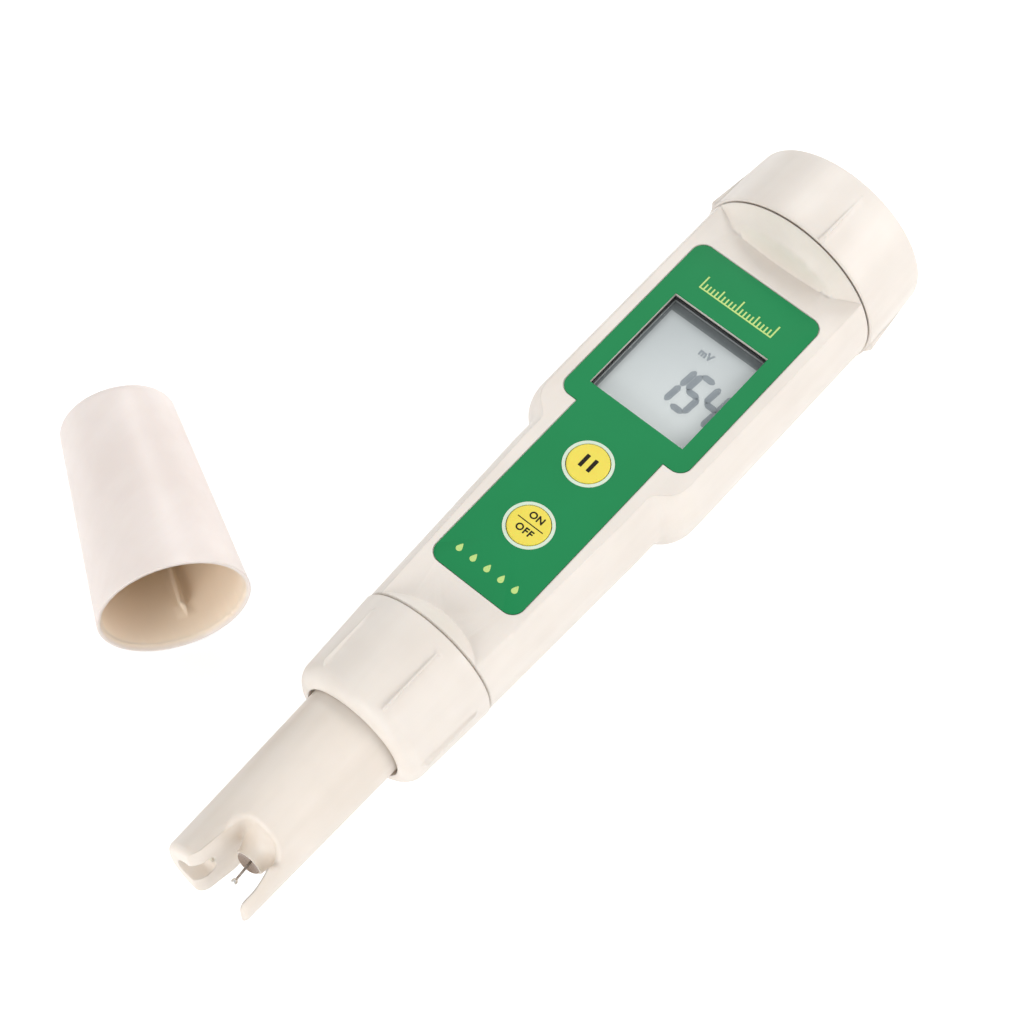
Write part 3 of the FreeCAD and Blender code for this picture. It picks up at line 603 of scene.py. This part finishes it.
def bar(bm, right, along, surface, wide, long, thick=INK_THICK, corner=0.0):
    """A thin bar that lies on a surface, added to a bmesh."""
    made = bmesh.ops.create_cube(bm, size=1.0)["verts"]
    bmesh.ops.scale(bm, verts=made, vec=Vector((wide, long, thick)) * MM)
    if corner:
        upright = [e for e in {e for v in made for e in v.link_edges}
                   if abs((e.verts[0].co - e.verts[1].co).z) > 0.5 * thick * MM]
        made = bmesh.ops.bevel(bm, geom=upright, offset=corner * MM, segments=4, profile=0.5,
                               affect="EDGES", material=-1)["verts"]
        made = list({v for f in {f for v in made for f in v.link_faces} for v in f.verts})
    middle = place(right, along, surface + thick / 2)
    bmesh.ops.translate(bm, verts=made, vec=middle)


key_top = (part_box("power_button")[1].z - origin.z) / MM
label_top = (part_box("label_overlay")[1].z - origin.z) / MM
key_along = {name: (sum(corner.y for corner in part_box(name)) / 2 - origin.y) / MM
             for name in ("power_button", "hold_button")}
print("keys at", {name: round(value, 2) for name, value in key_along.items()})

# %% [markdown]
# The power key reads ON over OFF, with a line between them. The other key freezes the reading,
# so it carries the usual two upright bars.

# %% Marks on the keys
power_along = key_along["power_button"]
for name, word, right, along, spacing in (("mark_on", "ON", 0.25, 1.95, 1.06),
                                          ("mark_off", "OFF", 0.05, -1.4, 1.14)):
    legend(name, word, 1.4, right, power_along + along, key_top, dark_ink, "power_button",
           bold=0.06, spacing=spacing)
bm = bmesh.new()
bar(bm, 0.15, power_along + 0.25, key_top, 5.9, 0.2)
settle(new_piece("mark_line", bm), dark_ink, "power_button")

bm = bmesh.new()
for side in (-1, 1):
    bar(bm, side * 0.95, key_along["hold_button"], key_top, 0.8, 3.0, corner=0.12)
settle(new_piece("mark_bars", bm), dark_ink, "hold_button")
print("the keys' marks lie %.2f mm above the axis" % key_top)

# %% [markdown]
# ## Marks on the label
#
# Above the window is a small graduated scale, and below the keys a row of drops: the usual
# signs for a meter and for water. A drop is a disc whose top half is drawn out to a point.

# %% A graduated scale and a row of drops
DROP_SQUEEZE, DROP_STRETCH = 0.62, 0.85


def drop(bm, right, along, surface, radius):
    """A drop with its point towards the battery cap, added to a bmesh."""
    made = bmesh.ops.create_circle(bm, cap_ends=True, segments=28, radius=radius * MM)["verts"]
    for vert in made:
        rise = max(vert.co.y, 0.0)
        squeeze = 1.0 - DROP_SQUEEZE * (rise / (radius * MM)) ** 1.2
        vert.co.x *= squeeze
        vert.co.y += DROP_STRETCH * rise
    face = made[0].link_faces[0]
    lifted = bmesh.ops.extrude_face_region(bm, geom=[face])["geom"]
    top = [v for v in lifted if isinstance(v, bmesh.types.BMVert)]
    bmesh.ops.translate(bm, verts=top, vec=Vector((0, 0, INK_THICK * MM)))
    middle = place(right, along, surface)
    bmesh.ops.translate(bm, verts=list(set(made) | set(top)), vec=middle)


TICKS, TICK_STEP, TICK_WIDE = 21, 0.85, 0.32
SCALE_FOOT, SCALE_LINE = 148.1, 0.3
half_scale = TICK_STEP * (TICKS - 1) / 2
bm = bmesh.new()
for step in range(TICKS):
    long = 2.8 if step % 10 == 0 else (2.1 if step % 5 == 0 else 1.3)
    bar(bm, TICK_STEP * step - half_scale, SCALE_FOOT + long / 2, label_top, TICK_WIDE, long)
bar(bm, 0, SCALE_FOOT - SCALE_LINE / 2, label_top, 2 * half_scale + TICK_WIDE, SCALE_LINE)
settle(new_piece("mark_scale", bm), lime_ink, "tester")

DROP_STEP, DROP_ALONG, DROP_R = 3.3, 76.4, 0.62
bm = bmesh.new()
for step in range(-2, 3):
    drop(bm, DROP_STEP * step, DROP_ALONG, label_top, DROP_R)
settle(new_piece("mark_drops", bm), lime_ink, "tester")
print("scale %.2f mm wide, row of drops %.2f mm" % (2 * half_scale + TICK_WIDE,
                                                     4 * DROP_STEP + 2 * DROP_R))

# %% [markdown]
# ## The figures on the display
#
# A seven-segment figure is seven strokes with tapered ends, leaning a little. One function
# makes a stroke; another picks the strokes that each figure needs. They lie on the display's
# face, and the last figure runs under the window's edge.

# %% Seven-segment figures
lcd_top = (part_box("lcd_panel")[1].z - origin.z) / MM
FIGURE_FOOT = 125.75
FIGURE_HIGH = 8.7
FIGURE_WIDE = 3.0
FIGURE_STEP = 4.4
FIGURE_RIGHT = 1.15   # the first figure's right side
STROKE = 1.35
STROKE_GAP, STROKE_TIP, STROKE_THICK, STROKE_LIFT = 0.14, 0.35, 0.03, 0.02
LEAN = math.tan(math.radians(4.5))
SEGMENTS = {"1": "bc", "5": "afgcd", "4": "fgbc"}


def stroke(bm, start, end, wide):
    """A flat stroke with tapered ends between two (right, along) points."""
    length = math.dist(start, end) - STROKE_GAP
    turn = math.atan2(end[1] - start[1], end[0] - start[0])
    made = bmesh.ops.create_cube(bm, size=1.0)["verts"]
    bmesh.ops.scale(bm, verts=made, vec=Vector((length - wide, wide, STROKE_THICK)) * MM)
    for side in (-1, 1):
        tip = [f for f in {f for v in made for f in v.link_faces}
               if f.normal.x * side > 0.9][0]
        out = bmesh.ops.extrude_discrete_faces(bm, faces=[tip])["faces"][0]
        for vert in out.verts:
            vert.co.x += side * wide / 2 * MM
            vert.co.y *= STROKE_TIP
        made = list(set(made) | set(out.verts))
    bmesh.ops.rotate(bm, verts=made, cent=Vector(), matrix=Matrix.Rotation(turn, 3, "Z"))
    middle = ((start[0] + end[0]) / 2, (start[1] + end[1]) / 2)
    bmesh.ops.translate(bm, verts=made, vec=place(*middle, lcd_top + STROKE_LIFT))


def figure(bm, character, right_side):
    """One figure, placed by its right-hand strokes' foot."""
    foot, middle, top = (FIGURE_FOOT + FIGURE_HIGH * part for part in (0, 0.5, 1))
    left_side = right_side - FIGURE_WIDE
    ends = {"a": ((left_side, top), (right_side, top)),
            "d": ((left_side, foot), (right_side, foot)),
            "g": ((left_side, middle), (right_side, middle)),
            "f": ((left_side, middle), (left_side, top)),
            "e": ((left_side, foot), (left_side, middle)),
            "b": ((right_side, middle), (right_side, top)),
            "c": ((right_side, foot), (right_side, middle))}
    for segment in SEGMENTS[character]:
        pair = [(right + LEAN * (along - foot), along) for right, along in ends[segment]]
        stroke(bm, *pair, STROKE)


def lcd_ink(name, tone, thin_tone):
    """A grey on the display, cloudy as the glass in front makes it."""
    material, tree, shader = new_material(name)
    here = object_place(tree)
    cloud = add(tree, "TexNoise", Vector=here, Scale=per_mm(0.8), Detail=2.0)
    colour = add(tree, "Mix", {"data_type": "RGBA"}, Factor=cloud.outputs[0], i6=linear(tone),
                 i7=linear(thin_tone))
    tree.links.new(colour.outputs[2], shader.inputs["Base Color"])
    shader.inputs["Roughness"].default_value = 0.35
    return material


segment_grey = lcd_ink("liquid_crystal_grey", "#8C939B", "#9DA4AB")
bm = bmesh.new()
for number, character in enumerate("154"):
    figure(bm, character, FIGURE_RIGHT + FIGURE_STEP * number)
settle(new_piece("display_figures", bm), segment_grey, "tester")
legend("display_unit", "mV", 1.5, 1.0, 138.3, lcd_top, segment_grey, "tester", bold=0.12)
print("figures %.1f mm high, %.2f mm above the axis" % (FIGURE_HIGH, lcd_top))

# %% [markdown]
# A strip of black rubber lines the opening under the window. It is painted shade: a dark piece
# put where the window's edges are in shade, so that they look dark.

# %% A dark strip of painted shade under the window
opening = [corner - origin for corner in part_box("display_window")]
(left, front, under), (right, rear, _) = ([value / MM for value in corner] for corner in opening)
strip_foot = (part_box("lcd_frame")[1].z - origin.z) / MM
SHADE_STRIP, SHADE_STRIP_GAP = 0.2, 0.02
strip_high = under - strip_foot - 2 * SHADE_STRIP_GAP
middle_right, middle_along = (left + right) / 2, (front + rear) / 2
bm = bmesh.new()
for side, across in ((left, 1), (right, -1)):
    bar(bm, side + across * SHADE_STRIP / 2, middle_along, strip_foot + SHADE_STRIP_GAP, SHADE_STRIP, rear - front,
        strip_high)
for along, across in ((front, 1), (rear, -1)):
    bar(bm, middle_right, along + across * SHADE_STRIP / 2, strip_foot + SHADE_STRIP_GAP,
        right - left - 2 * SHADE_STRIP - SHADE_STRIP_GAP, SHADE_STRIP, strip_high)
# The dark strip is painted shade on the window's edges.
settle(new_piece("window_gasket", bm), seal_rubber, "tester")
print("painted_shade_strip %.2f mm high round %.1f by %.1f mm" % (strip_high, right - left, rear - front))

# %% [markdown]
# A darker grey strip on the display, along the rear and on the left, is a painted shadow of the
# window's edge.

# %% A painted shadow of the window's edge
SHADOW_REAR, SHADOW_LEFT, SHADOW_LIFT = 1.9, 0.6, 0.01
# Painted shadow: a darker grey where the window's edge shades the display.
painted_shadow_grey = lcd_ink("painted_window_shadow", "#7A7F82", "#888D90")
bm = bmesh.new()
bar(bm, middle_right, rear - SHADE_STRIP - SHADOW_REAR / 2, lcd_top + SHADOW_LIFT,
    right - left - 2 * SHADE_STRIP, SHADOW_REAR)
bar(bm, left + SHADE_STRIP + SHADOW_LEFT / 2, middle_along - SHADOW_REAR / 2, lcd_top + SHADOW_LIFT,
    SHADOW_LEFT, rear - front - 2 * SHADE_STRIP - SHADOW_REAR)
settle(new_piece("display_painted_shadow", bm), painted_shadow_grey, "tester")
print("shadow_painted strips %.1f mm at the rear, %.1f mm on the left" % (SHADOW_REAR, SHADOW_LEFT))

# %% [markdown]
# ## Threads
#
# The solids have plain necks, because a thread's helix only slows the model down. Here it can
# be real: a small trapezium is spun round the axis and pushed along it at the same time. Both
# threads are right-handed, and their height fades in and out at the ends, as a moulded
# thread's does.

# %% A helical ridge on each neck
STEPS_PER_TURN = 72


def thread(name, radius, first, last, pitch, high, material, body):
    """A helical ridge on a neck, between two places along it."""
    turns = (last - first) / pitch
    steps = round(turns * STEPS_PER_TURN)
    bm = bmesh.new()
    corners = [(radius - 0.1, -0.42 * pitch), (radius + high, -0.1 * pitch),
               (radius + high, 0.1 * pitch), (radius - 0.1, 0.42 * pitch)]
    made = [bm.verts.new(place(r, first + a, 0)) for r, a in corners]
    profile = bm.faces.new(made)
    bmesh.ops.spin(bm, geom=[profile], cent=place(0, 0, 0), axis=(0, 1, 0),
                   dvec=Vector((0, (last - first) * MM / steps, 0)),
                   angle=2 * math.pi * turns, steps=steps)
    for vert in bm.verts:
        gap = vert.co - origin
        out = math.hypot(gap.x, gap.z) / MM
        along = gap.y / MM
        fade = min(1.0, (along - first + 0.2 * pitch) / (0.3 * pitch),
                   (last + 0.2 * pitch - along) / (0.3 * pitch))
        if out > radius and fade < 1:
            keep = (radius + high * max(fade, -0.3)) / out
            vert.co.x = origin.x + gap.x * keep
            vert.co.z = origin.z + gap.z * keep
    settle(new_piece(name, bm), material, body, sharp=50)
    print(name, "has %.2f turns" % turns)


thread("battery_neck_thread", 17.6, 168.9, 171.2, 2.25, 0.22, ivory, "tester")
thread("electrode_neck_thread", 12.5, 52.2, 58.6, 2.5, 0.24, ivory, "tester")

# %% [markdown]
# ## Floor and backdrop
#
# The tester lies on a plain white board in a white room. The board is a pale diffuse surface, so
# it takes the shadow. A little extra light that only the camera, reflections and the clear
# plastic see lifts it to white without lighting the tester.

# %% A white floor
FLOOR_LIFT = 0.4
FLOOR_REACH = 3.0     # metres each way
bm = bmesh.new()
bmesh.ops.create_grid(bm, x_segments=1, y_segments=1, size=FLOOR_REACH)
floor = piece_from("floor", bm)
floor_white, tree, shader = new_material("matt_white_board")
grain = add(tree, "TexNoise", Vector=object_place(tree), Scale=per_mm(1.5), Detail=3.0)
bump = add(tree, "Bump", Strength=0.05, Distance=0.05 * MM, Height=grain.outputs[0])
tree.links.new(bump.outputs[0], shader.inputs["Normal"])
shader.inputs["Base Color"].default_value = linear("#F4F4F4")
shader.inputs["Roughness"].default_value = 0.8
rays = add(tree, "LightPath")
seen = add(tree, "Math", {"operation": "MAXIMUM"}, i0=rays.outputs["Is Camera Ray"],
           i1=rays.outputs["Is Glossy Ray"])
seen = add(tree, "Math", {"operation": "MAXIMUM"}, i0=seen.outputs[0],
           i1=rays.outputs["Is Transmission Ray"])
lift = add(tree, "Math", {"operation": "MULTIPLY"}, i0=seen.outputs[0], i1=FLOOR_LIFT)
tree.links.new(lift.outputs[0], shader.inputs["Emission Strength"])
shader.inputs["Emission Color"].default_value = (1, 1, 1, 1)
floor.data.materials.append(floor_white)
print("floor reaches %.0f m each way" % FLOOR_REACH)

# %% [markdown]
# ## Light
#
# Most of the light comes from the white room. One softbox stands low at the tip's end and one
# at the far right, so that the tester's right side is brighter than its left. A smaller one
# above and behind on the left draws the shadow of the window's edge on the display.

# %% World and softboxes
ROOM_LIGHT = 0.58
MIDDLE = (0, 105, 0)  # near the tester's middle; every lamp points at it
LAMP_AWAY = 1.5       # metres from there
scene = bpy.context.scene
scene.view_settings.view_transform = "Standard"
world = bpy.data.worlds.new("white_room")
world.use_nodes = True
background = world.node_tree.nodes["Background"]
room_rays = add(world.node_tree, "LightPath")
room = add(world.node_tree, "MapRange", Value=room_rays.outputs["Is Camera Ray"],
           To_Min=ROOM_LIGHT, To_Max=1.0)
world.node_tree.links.new(room.outputs[0], background.inputs["Strength"])
background.inputs["Color"].default_value = linear("#FFFFFF")
scene.world = world


def softbox(name, direction, size, watts, tone):
    """A square lamp that faces the middle of the tester from a direction."""
    lamp = bpy.data.lights.new(name, "AREA")
    lamp.size = size
    lamp.energy = watts
    lamp.color = linear(tone)[:3]
    stand = linked(name, lamp)
    towards = Vector(direction).normalized()
    stand.location = place(*MIDDLE) + towards * LAMP_AWAY
    stand.rotation_euler = towards.to_track_quat("Z", "Y").to_euler()
    print(name, "gives", watts, "W from", [round(value, 2) for value in stand.location])


softbox("front_light", (0.1, -1.0, 0.4), 0.9, 10.8, "#FFFDFB")
softbox("side_light", (0.78, 0.62, 0.5), 0.9, 9.8, "#FFFCFB")
softbox("window_light", (-0.57, 0.97, 1.0), 0.45, 5.0, "#FFFFFF")

# %% [markdown]
# ## Camera
#
# The camera looks down at the tester from its lower right, through a long lens, so that the
# perspective is mild. It has no roll and no shift.

# %% Camera
camera_data = bpy.data.cameras.new("camera")
camera_data.lens = 106.56
camera_data.sensor_width = 36.0
camera_data.clip_start = 0.01
camera = linked("camera", camera_data)
camera_right = Vector((0.7577, 0.6526, 0.0))
camera_up = Vector((-0.5778, 0.6709, 0.4648))
camera_back = camera_right.cross(camera_up)
turn = Matrix((camera_right, camera_up, camera_back)).transposed().to_4x4()
camera.matrix_world = Matrix.Translation(place(159.32, -103.52, 492.43)) @ turn
scene.camera = camera
away = (camera.matrix_world.translation - place(*MIDDLE)).length
print("camera with a %.0f mm lens, %.2f m away" % (camera_data.lens, away))
